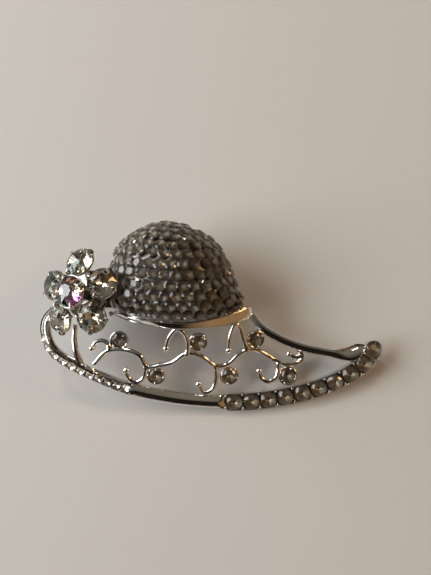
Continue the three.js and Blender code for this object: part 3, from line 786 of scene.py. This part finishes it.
brimStone = {"radius": 1.42, "wall": 0.3, "claw": 0.22, "claws": 4, "seat": 0.03}
r = brimStone["radius"]
outer = r + brimStone["wall"]
cupProfile = [
    (0, -0.55 * r - 0.4), (0.55 * r, -0.55 * r - 0.4), (0.7 * r, -0.55 * r - 0.25), (r + 0.24, -0.35),
    (outer, -0.2), (outer, 0.1), (r + 0.2, 0.24), (r + 0.06, 0.26), (r - 0.08, 0.18), (r - 0.06, 0.02),
    (r - 0.2, -0.1), (0, -0.55 * r - 0.1),
]
brimClaw = moved(ball("brimClaw", brimStone["claw"], 10, 7), Matrix.Translation((r * 0.95, 0, 0.24)))
brimCupWhole = joined("brimCupWhole", [turned("brimCup", cupProfile, 32, crease=50)] + [
    moved(brimClaw.copy(), Matrix.Rotation((45 + 360 * k / brimStone["claws"]) * degree, 4, "Z"))
    for k in range(brimStone["claws"])
])
for k, (x, y) in enumerate(brimStonePlaces):
    turn = Vector((math.cos(0.7 * k), math.sin(0.7 * k), 0))
    place = [(onBrim(x, y), brimNormal(x, y), turn, 1)]
    addPiece(f"brimCup{k + 1}", spread(brimCupWhole, place, silver), [f"brim_cup_{k + 1}"])
    place = [(onBrim(x, y, brimStone["seat"]), brimNormal(x, y), turn, r)]
    gem = spread(roundStone, place, clearTop, dullFoil, tilt=6, spin=180, seed=20 + k)
    addPiece(f"brimStone{k + 1}", gem, [f"brim_stone_{k + 1}"])
print("brim stones set")


crownShape = {"centre": (-6.2, 8.8), "height": 9.6, "wall": 0.8, "bulge": 0.6, "sides": 96}
crownLine = Line([
    (5.6, 4.2, 1.9), (4.6, 8.0, 0.5), (3.4, 11.5, 0.3), (1.7, 14.6, 0.3), (-2.4, 17.7, 0.3),
    (-8.2, 19.0, 0.3), (-12.6, 17.5, 0.3), (-16.0, 14.8, 0.3), (-17.2, 11.2, 0.4), (-17.5, 7.2, 1.1),
    (-16.4, 4.1, 2.7), (-10.0, 1.95, 5.1), (-4.8, 1.3, 5.8), (1.8, 2.2, 5.0),
], closed=True)
centreX, centreY = crownShape["centre"]
crownTable = sorted(
    (math.atan2(p.y - centreY, p.x - centreX), math.hypot(p.x - centreX, p.y - centreY), p.z)
    for p in crownLine.spaced(361)[:-1]
)
crownAngles = [row[0] for row in crownTable]


# How far the crown's foot is from the centre in that direction, and how high it lies there.
def crownEdge(angle):
    angle = math.atan2(math.sin(angle), math.cos(angle))
    k = bisect.bisect(crownAngles, angle)
    a = crownTable[k - 1]
    b = crownTable[k % len(crownTable)]
    gap = (b[0] - a[0]) % fullTurn
    share = ((angle - a[0]) % fullTurn) / max(gap, 1e-9)
    return a[1] + share * (b[1] - a[1]), a[2] + share * (b[2] - a[2])


# The dome's height at a share of the way out to a foot at height z.
def domeHeight(share, z):
    return z + (crownShape["height"] - z) * (1 - share * share) ** crownShape["bulge"]


def crownPoint(x, y):
    reach, z = crownEdge(math.atan2(y - centreY, x - centreX))
    share = min(1, math.hypot(x - centreX, y - centreY) / reach)
    return Vector((x, y, domeHeight(share, z)))


def crownNormal(x, y):
    step = 0.15
    alongX = crownPoint(x + step, y) - crownPoint(x - step, y)
    alongY = crownPoint(x, y + step) - crownPoint(x, y - step)
    return alongX.cross(alongY).normalized()


def insideCrown(x, y, margin):
    reach = crownEdge(math.atan2(y - centreY, x - centreX))[0]
    return math.hypot(x - centreX, y - centreY) < reach - margin


def crownShell():
    def ring(share, inset, drop, floor=None):
        spots = []
        for k in range(crownShape["sides"]):
            angle = fullTurn * k / crownShape["sides"]
            reach, z = crownEdge(angle)
            radius = share * (reach - inset)
            x, y = centreX + radius * math.cos(angle), centreY + radius * math.sin(angle)
            spots.append(Vector((x, y, domeHeight(share, z) - drop if floor is None else floor)))
        return spots

    def pole(height):
        return [Vector((centreX, centreY, height))]

    wall = crownShape["wall"]
    shares = [0.12, 0.25, 0.38, 0.5, 0.62, 0.72, 0.8, 0.87, 0.93, 0.97, 0.99, 1]
    rings = [pole(crownShape["height"])] + [ring(s, 0, 0) for s in shares]
    rings += [ring(1, 0, 0, 0.1), ring(0.995, 0, 0, 0), ring(0.95, wall, 0, 0)]
    rings += [ring(s, wall, wall) for s in reversed(shares[:-3])]
    rings.append(pole(crownShape["height"] - wall))
    return loft("crownShell", rings, crease=50)


# the crown's shell between the stones is painted dark silver: painted shade
addPiece("crownShell", crownShell(), ["crown_shell"], main=deepShadedSilver)

pave = {
    "gap": 1.93, "row": 1.66, "first": 2.1, "middle": -5.4, "curve": 0.02, "margin": 0.42,
    "stone": 0.97, "girdle": 0.42, "rounds": 30, "push": 0.4, "squeeze": 0.16, "step": 0.02,
    "grain": 0.16, "grainLift": 0.42, "reach": 1.25,
}


# The first places of the stones, in curved rows from the front of the dome to its back.
def paveStart():
    spots = []
    y = pave["first"]
    walked = pave["row"]
    before = crownPoint(pave["middle"], y)
    rows = 0
    while insideCrown(pave["middle"], y, pave["margin"]):
        here = crownPoint(pave["middle"], y)
        walked += (here - before).length
        before = here
        if walked >= pave["row"]:
            walked = 0
            for direction in (1, -1):
                x = pave["middle"] + (pave["gap"] / 2 if rows % 2 else 0)
                last = None
                while True:
                    rowY = y + pave["curve"] * (x - pave["middle"]) ** 2
                    if not insideCrown(x, rowY, pave["margin"]):
                        break
                    spot = crownPoint(x, rowY)
                    if last is None or (spot - last).length >= pave["gap"]:
                        if last is not None or direction == 1:
                            spots.append(spot)
                        last = spot
                    x += direction * pave["step"]
            rows += 1
        y += pave["step"]
    return spots


# Pushes the stones apart until they lie evenly, and drops those that don't fit.
def paveSettled(spots):
    for turn in range(2 * pave["rounds"]):
        pushes = [Vector() for spot in spots]
        tight = [0] * len(spots)
        for i, here in enumerate(spots):
            for j in range(i):
                gap = here - spots[j]
                if abs(gap.x) > pave["gap"] or abs(gap.y) > pave["gap"] or gap.length > pave["gap"]:
                    continue
                short = pave["gap"] - gap.length
                pushes[i] += gap.normalized() * short * pave["push"]
                pushes[j] -= gap.normalized() * short * pave["push"]
                tight[i] = max(tight[i], short)
        for i, push in enumerate(pushes):
            x, y = spots[i].x + push.x, spots[i].y + push.y
            if insideCrown(x, y, pave["margin"]):
                spots[i] = crownPoint(x, y)
        if turn >= pave["rounds"] and turn % 4 == 0 and max(tight) > pave["squeeze"]:
            spots.pop(tight.index(max(tight)))
    return spots


paveSpots = []
grainSpots = []
settled = paveSettled(paveStart())
for here in settled:
    normal = crownNormal(here.x, here.y)
    along = Vector((0, 1, 0)).cross(normal).normalized()
    paveSpots.append((here + normal * pave["girdle"], normal, along, pave["stone"]))
# a grain of metal in the hollow between each three stones, painted dark silver as shade in that hollow
reach = pave["reach"] * pave["gap"]
for i, a in enumerate(settled):
    near = [spot for spot in settled[:i] if (spot - a).length <= reach]
    for j, b in enumerate(near):
        for c in near[:j]:
            if (c - b).length > reach:
                continue
            middle = (a + b + c) / 3
            ground = crownPoint(middle.x, middle.y)
            tip = crownNormal(middle.x, middle.y)
            grainSpots.append((ground + tip * pave["grainLift"], tip, Vector((1, 0, 0)), pave["grain"]))
paveMesh = spread(paveStone, paveSpots, clearTop, dullFoil, tilt=7, spin=180, vary=0.02, seed=11)
addPiece("crownStones", paveMesh, [f"crown_stone_row_{k + 1}" for k in range(10)])
addPiece("crownGrains", spread(grain, grainSpots, deepShadedSilver, vary=0.2, seed=5), [])
print("crown paved with", len(paveSpots), "stones and", len(grainSpots), "grains")


band = {
    "thickness": 0.6, "round": 0.14, "stations": 120, "half": 0.62, "wider": 0.43, "widens": (0.5, 0.9),
    "lean": 26, "leanMore": 28, "leans": (0.1, 0.45), "bead": 0.5, "beadAt": (-16.96, 2.56, 2.9),
}
bandLine = Line([
    (-16.4, 2.9, 2.9), (-13.4, 1.7, 4.5), (-9.9, 0.9, 5.5), (-4.8, 0.3, 6.0),
    (1.8, 1.1, 5.2), (5.2, 2.2, 3.8), (7.4, 3.4, 2.6),
])


def bandMesh():
    rings = []
    for k in range(band["stations"] + 1):
        share = k / band["stations"]
        at = bandLine.at(share)
        out = bandLine.along(share).cross(Vector((0, 0, 1)))
        out = Vector((out.x, out.y, 0)).normalized()
        lean = (band["lean"] + band["leanMore"] * eased(share, *band["leans"])) * degree
        rise = out * -math.sin(lean) + Vector((0, 0, math.cos(lean)))
        thick = out * math.cos(lean) + Vector((0, 0, math.sin(lean)))
        half = band["half"] + band["wider"] * eased(share, *band["widens"])
        half *= 0.35 + 0.65 * math.sqrt(min(1, min(share / 0.05, (1 - share) / 0.035)))
        deep = band["thickness"] / 2 * (0.4 + 0.6 * math.sqrt(min(1, min(share, 1 - share) / 0.02)))
        soft = min(band["round"], half * 0.5, deep * 0.6)
        section = []
        for a, b in ((1, -1), (1, 1), (-1, 1), (-1, -1)):
            middle = (a * (deep - soft), b * (half - soft))
            for j in range(4):
                turn = math.atan2(b, a) + (-45 + 30 * j) * b * a * degree
                section.append((middle[0] + soft * math.cos(turn), middle[1] + soft * math.sin(turn)))
        rings.append([at + thick * a + rise * b for a, b in section])
    return loft("hatBand", rings, crease=60)


addPiece("hatBand", bandMesh(), ["hat_band"], main=silver)
bead = moved(ball("bandBead", band["bead"], 20, 12), Matrix.Translation(band["beadAt"]))
addPiece("bandBead", bead, ["band_bead"], main=silver)
print("hat band made")


flower = {
    "centre": (-21.9, 5.8, 5.9), "lean": 24, "petal": 2.5, "splay": 20, "middle": 2.65, "lift": 2.6,
    "claws": 4, "claw": 0.3, "wall": 0.16, "seat": 0.04, "hub": 4.3, "hubThick": 0.6,
    "places": [(4.65, 1.45), (-0.1, 5.35), (-5.35, 1.7), (-3.9, -4.1), (2.65, -4.25)],
}
flowerPlace = Matrix.Translation(flower["centre"]) @ Matrix.Rotation(-flower["lean"] * degree, 4, "Y")
petalFoot = 0.55 * flower["petal"] + 0.4
hubTop = -petalFoot - 0.35


# A claw that stands beside a stone and is folded over its edge.
def claw(radius, width):
    line = Line([
        (radius * 0.8 + 0.2, 0, -0.9), (radius + 0.3, 0, -0.3), (radius + 0.26, 0, 0.3),
        (radius * 0.94, 0, 0.56), (radius * 0.78, 0, 0.66),
    ])
    side = Vector((0, 1, 0))
    rings = []
    for k in range(15):
        share = k / 14
        at = line.at(share)
        out = side.cross(line.along(share))
        size = width * (1 - 0.3 * share) * math.sqrt(max(0.06, 1 - max(0, (share - 0.8) / 0.2) ** 2))
        rings.append([
            at + side * size * math.cos(fullTurn * j / 10) + out * size * 0.7 * math.sin(fullTurn * j / 10)
            for j in range(10)
        ])
    return loft("claw", rings, crease=70)


def clawedCup(radius, foot, first=0):
    wall = flower["wall"]
    profile = [
        (0, -foot), (0.45 * radius, -foot), (0.5 * radius, -foot + 0.12), (radius * 0.86, -0.72),
        (radius + wall, -0.42), (radius + wall, -0.14), (radius + wall * 0.6, -0.06), (radius - 0.04, -0.06),
        (radius - 0.1, -0.12), (0.3, -0.62 * radius - 0.04), (0, -0.62 * radius - 0.06),
    ]
    parts = [turned("cup", profile, 40, crease=45)]
    for k in range(flower["claws"]):
        turn = Matrix.Rotation(first * degree + fullTurn * k / flower["claws"], 4, "Z")
        parts.append(moved(claw(radius, flower["claw"]), turn))
    return joined("clawedCup", parts)


# The one place of a stone that sits in a cup with this stand.
def seatOf(stand, radius):
    facing = (stand.to_3x3() @ Vector((0, 0, 1))).normalized()
    along = (stand.to_3x3() @ Vector((1, 0, 0))).normalized()
    return [(stand @ Vector((0, 0, flower["seat"])), facing, along, radius)]


petalCup = clawedCup(flower["petal"], petalFoot)
splay = flower["splay"] * degree
for k, (x, y) in enumerate(flower["places"]):
    angle = math.atan2(y, x)
    normal = Vector((math.sin(splay) * math.cos(angle), math.sin(splay) * math.sin(angle), math.cos(splay)))
    outwards = Vector((math.cos(angle + 0.78), math.sin(angle + 0.78), 0))
    stand = flowerPlace @ placing(Vector((x, y, 0)), normal, outwards)
    cup = moved(petalCup.copy(), stand)
    # the cups under the petal stones are painted dimmer silver: painted shade
    addPiece(f"petalCup{k + 1}", cup, [f"petal_cup_{k + 1}"], main=halfShadedSilver)
    seat = seatOf(stand, flower["petal"] + 0.06)
    gem = spread(grandStone, seat, petalTop, petalFoil, tilt=3, spin=25, seed=30 + k)
    addPiece(f"petalStone{k + 1}", gem, [f"petal_stone_{k + 1}"])

stand = flowerPlace @ Matrix.Translation((0, 0, flower["lift"]))
middleCup = clawedCup(flower["middle"], flower["lift"] - hubTop - 0.05, 20)
# the centre cup under the middle stone is painted dimmer silver: painted shade
addPiece("centreCup", moved(middleCup, stand), ["centre_cup"], main=halfShadedSilver)
gem = spread(coatedStone, seatOf(stand, flower["middle"] + 0.04), auroraAndGlintTop, auroraAndGlintFoil, seed=2)
addPiece("centreStone", gem, ["centre_stone"])

hub = flower["hub"]
hubFoot = hubTop - flower["hubThick"]
hubProfile = [
    (0, hubFoot), (hub - 0.15, hubFoot), (hub - 0.02, hubFoot + 0.08), (hub, hubTop - 0.3),
    (hub - 0.02, hubTop - 0.08), (hub - 0.15, hubTop), (0, hubTop),
]
# the hub under the flower is painted dimmer silver: painted shade
hubMesh = moved(turned("hub", hubProfile, 48), flowerPlace)
addPiece("flowerHub", hubMesh, ["flower_hub"], main=halfShadedSilver)
stem = {"radius": 0.6, "top": 0.75, "widens": 0.35}
stemLine = Line([(-23.4, 0.9, 1.6), (-23.6, -2.0, 1.0), (-23.2, -4.4, 0.5), (-22.6, -6.0, -0.1)])


def stemWidth(share):
    return stem["top"] + stem["widens"] * share


stemMesh = wired(stemLine.spaced(40), stem["radius"], 14, silver, stemWidth)
addPiece("flowerStem", stemMesh, ["flower_stem"])
print("flower made")


# The sprung clip: a flat upper jaw with a pad, a bowed lower jaw with a lever, and a pin between their ears.
clip = {
    "y": pinSpot[1], "pinX": pinSpot[0], "pinZ": pinSpot[2], "width": 5.6, "jaw": 4.4, "sheet": 0.5,
    "top": -0.9, "nose": 4, "tail": -25.5, "bow": -5.4, "lever": -7.1, "ear": 1.05, "earRise": 0.9,
    "ridges": 6, "firstRidge": 0.025, "ridgeGap": 0.028,
}
upperUnder = clip["top"] - clip["sheet"]


def sidePlate(name, outline, middle, width, bevel):
    return plate(
        name, outline,
        lambda p: Vector((p[0], middle - width / 2, p[1])),
        lambda p: Vector((p[0], middle + width / 2, p[1])),
        bevel,
    )


# Two ears round the pin: straight at the sheet they stand on, and rounded at their far end.
def ears(middle, topZ, bottomZ, halfLength):
    rise = math.copysign(clip["earRise"], topZ - bottomZ)
    arc = [
        (clip["pinX"] + clip["ear"] * math.cos(a * degree), bottomZ + rise * (1 - abs(math.sin(a * degree))))
        for a in range(0, 181, 30)
    ]
    outline = [(clip["pinX"] + halfLength, topZ)] + arc + [(clip["pinX"] - halfLength, topZ)]
    return [
        sidePlate("ear", outline, clip["y"] + side * (middle - clip["sheet"] / 2), clip["sheet"], 0.07)
        for side in (-1, 1)
    ]


half = clip["width"] / 2
nose, tail = clip["nose"], clip["tail"]
nearSide = [
    (tail, 1.6 - half), (tail + 0.5, 0.5 - half), (tail + 1.6, -half), (nose - 1.2, -half),
    (nose - 0.3, 0.6 - half), (nose, 1.8 - half),
]
corners = [(x, clip["y"] + y) for x, y in nearSide] + [(x, clip["y"] - y) for x, y in reversed(nearSide)]
padOutline = [
    (-11.5, 5.8), (-11.2, 5.5), (0.7, 5.5), (1, 5.8), (1, 9.2), (0.7, 9.5), (-11.2, 9.5), (-11.5, 9.2),
]


def flatPlate(name, outline, low, high, bevel):
    return plate(
        name, outline,
        lambda p: Vector((p[0], p[1], low)),
        lambda p: Vector((p[0], p[1], high)),
        bevel,
    )


upperParts = [
    flatPlate("jawPlate", corners, upperUnder, clip["top"], 0.1),
    flatPlate("pad", padOutline, upperUnder - 0.15, upperUnder + 0.1, 0.06),
]
upperParts += ears(half, clip["top"] - 0.15, clip["pinZ"] - 1.2, 2.4)
addPiece("clipUpperJaw", joined("upper", upperParts), ["clip_upper_jaw"], main=steel)

insideLine = Line([
    (tail, 0, clip["lever"]), (-19, 0, -5.9), (-16.5, 0, clip["bow"] - 0.25), (-6, 0, clip["bow"]),
    (-1, 0, -4.7), (2.0, 0, -3.3), (nose - 0.4, 0, upperUnder - 0.12),
])
jawSection = [(-1, 0.12), (-0.96, 0), (0.96, 0), (1, 0.12), (1, 0.38), (0.96, 0.5), (-0.96, 0.5), (-1, 0.38)]


# A place on the inside of the lower jaw, the way along it, and the way out through its sheet.
def jawFrame(share):
    along = insideLine.along(share)
    return insideLine.at(share) + Vector((0, clip["y"], 0)), along, Vector((along.z, 0, -along.x))


jawRings = []
for k in range(73):
    share = k / 72
    at, along, down = jawFrame(share)
    thick = clip["sheet"] * (1 - 0.3 * eased(share, 0.95, 1))
    wide = clip["jaw"] / 2 * (0.78 + 0.22 * math.sqrt(min(1, min(share, 1 - share) / 0.04)))
    jawRings.append([at + Vector((0, wide * a, 0)) + down * (thick * b * 2) for a, b in jawSection])
ridge = loft("ridge", [
    [Vector((0.16 * math.cos(a * degree), y, 0.16 * math.sin(a * degree))) for a in range(0, 360, 45)]
    for y in (-1.7, -1.6, 1.6, 1.7)
])
ridgeSpots = []
for k in range(clip["ridges"]):
    at, along, down = jawFrame(clip["firstRidge"] + clip["ridgeGap"] * k)
    ridgeSpots.append((at + down * clip["sheet"], down, along, 1))
lowerParts = [loft("jawStrip", jawRings, crease=50)]
lowerParts += ears(clip["jaw"] / 2, clip["bow"] - 0.35, clip["pinZ"] + 1.1, 2.2)
lowerParts.append(spread(ridge, ridgeSpots, steel))
addPiece("clipLowerJaw", joined("lower", lowerParts), ["clip_lower_jaw"], "lower_jaw", main=steel)

pin = {"radius": 0.6, "head": 0.95}
pinEnd = half + 0.08
upperPin = [
    (pin["radius"], pinEnd), (pin["head"], pinEnd), (pin["head"], pinEnd + 0.08), (0.88, pinEnd + 0.22),
    (pin["radius"], pinEnd + 0.33), (0, pinEnd + 0.35),
]
pinProfile = [(radius, -height) for radius, height in reversed(upperPin)] + upperPin
pinPlace = Matrix.Translation(pinSpot) @ Matrix.Rotation(-90 * degree, 4, "X")
addPiece("hingePin", moved(turned("pin", pinProfile, 24), pinPlace), ["hinge_pin"], main=steel)

spring = {"wire": 0.27, "coil": 1, "length": 2.8, "turns": 4.5, "steps": 72}
springSide = clip["y"] - spring["length"] / 2
coil = [Vector((-20.5, springSide - 0.2, upperUnder - 0.32)), Vector((-17, springSide - 0.2, -2.45))]
for k in range(spring["steps"] + 1):
    share = k / spring["steps"]
    angle = 90 * degree - fullTurn * spring["turns"] * share
    coil.append(Vector((
        clip["pinX"] + spring["coil"] * math.cos(angle),
        springSide + spring["length"] * share,
        clip["pinZ"] + spring["coil"] * math.sin(angle),
    )))
coilMesh = wired(Line(coil).spaced(380), spring["wire"], 10, steel)
addPiece("torsionSpring", coilMesh, ["torsion_spring"])
# the spring's lower leg presses on the lever and goes with it
leg = Line([
    (clip["pinX"], clip["y"] + 1.4, clip["pinZ"] - spring["coil"]), (-17, clip["y"] + 1.45, -5.32),
    (-19.5, clip["y"] + 1.5, -5.6),
])
addPiece("springLeg", wired(leg.spaced(24), spring["wire"], 10, steel), [], "lower_jaw")
print("clip made")

# the back plate and the flower's post keep the shape they come with, and are painted dimmer silver as shade behind
# the crown and under the flower
for name in ("crown_back_plate", "flower_post"):
    kept = frame["nodes"][name]
    kept.data.materials.clear()
    kept.data.materials.append(halfShadedSilver)


floorMesh = bpy.data.meshes.new("floor")
floorMesh.from_pydata([(-1.5, -1.5, 0), (1.5, -1.5, 0), (1.5, 1.5, 0), (-1.5, 1.5, 0)], [], [(0, 1, 2, 3)])
floor = bpy.data.objects.new("floor", floorMesh)
bpy.context.collection.objects.link(floor)
floorFinish, floorTree, floorShader = newMaterial("paleFloor")
feed(floorTree, floorShader, {"Base Color": (0.57, 0.535, 0.495, 1), "Roughness": 0.85})
floorMesh.materials.append(floorFinish)

lightSet = {
    "window": {"at": (-0.5, 0.06, 0.3), "wide": 0.62, "high": 0.42, "watts": 5.2, "colour": (0.93, 0.97, 1)},
    "lamp": {"at": (0.4, 0.1, 0.22), "wide": 0.1, "high": 0.1, "watts": 0.5, "colour": (1, 0.6, 0.26)},
    "ceiling": {"at": (-0.1, 0.42, 0.5), "wide": 0.07, "high": 0.07, "watts": 0.5, "colour": (1, 0.98, 0.94)},
}
for name, setting in lightSet.items():
    data = bpy.data.lights.new(name, "AREA")
    data.shape = "RECTANGLE"
    data.size = setting["wide"]
    data.size_y = setting["high"]
    data.energy = setting["watts"]
    data.color = setting["colour"]
    light = bpy.data.objects.new(name, data)
    light.location = setting["at"]
    light.rotation_mode = "QUATERNION"
    light.rotation_quaternion = (-Vector(setting["at"])).to_track_quat("-Z", "Y")
    bpy.context.collection.objects.link(light)

# Room light: cool grey on the window's side, tan at the front right, brown above the back, dark in front.
# Each is (direction, where it starts and is full, colour); the camera itself sees a plain pale wall.
roomLights = (
    ((-0.84, 0.45, 0.3), (0.2, 0.95), (0.34, 0.35, 0.35, 1)),
    ((0.75, -0.63, 0.2), (0.66, 0.9), (0.29, 0.165, 0.075, 1)),
    ((0.1, 0.6, 0.79), (0.7, 0.96), (0.17, 0.15, 0.115, 1)),
)
wall = (0.5, 0.47, 0.44, 1)
world = bpy.data.worlds.new("room")
world.use_nodes = True
bpy.context.scene.world = world
tree = world.node_tree
place = node(tree, "ShaderNodeTexCoord").outputs["Generated"]
room = (0.012, 0.009, 0.007, 1)
for aim, limits, colour in roomLights:
    dot = node(tree, "ShaderNodeVectorMath", {0: place, 1: aim}, operation="DOT_PRODUCT").outputs["Value"]
    room = mixColour(tree, between(tree, dot, *limits), room, colour)
seenByCamera = node(tree, "ShaderNodeLightPath").outputs["Is Camera Ray"]
feed(tree, tree.nodes["Background"], {"Color": mixColour(tree, seenByCamera, room, wall), "Strength": 1})
bpy.context.scene.view_settings.view_transform = "Standard"

camera = bpy.data.objects.new("camera", bpy.data.cameras.new("camera"))
camera.data.lens = 35
camera.data.sensor_width = 36
camera.data.clip_start = 0.005
camera.data.clip_end = 5
cameraSpot = Vector((1.062, -6.321, 99.027))  # on the hat's own axes
tip = 8 * degree
back = hatTurn @ Vector((0, -math.sin(tip), math.cos(tip)))
upwards = hatTurn @ Vector((0, math.cos(tip), math.sin(tip)))
cameraTurn = Matrix((upwards.cross(back), upwards, back)).transposed().to_4x4()
camera.matrix_world = Matrix.Translation(hatToWorld @ cameraSpot) @ cameraTurn
bpy.context.collection.objects.link(camera)
bpy.context.scene.camera = camera
print("floor, light and camera set")
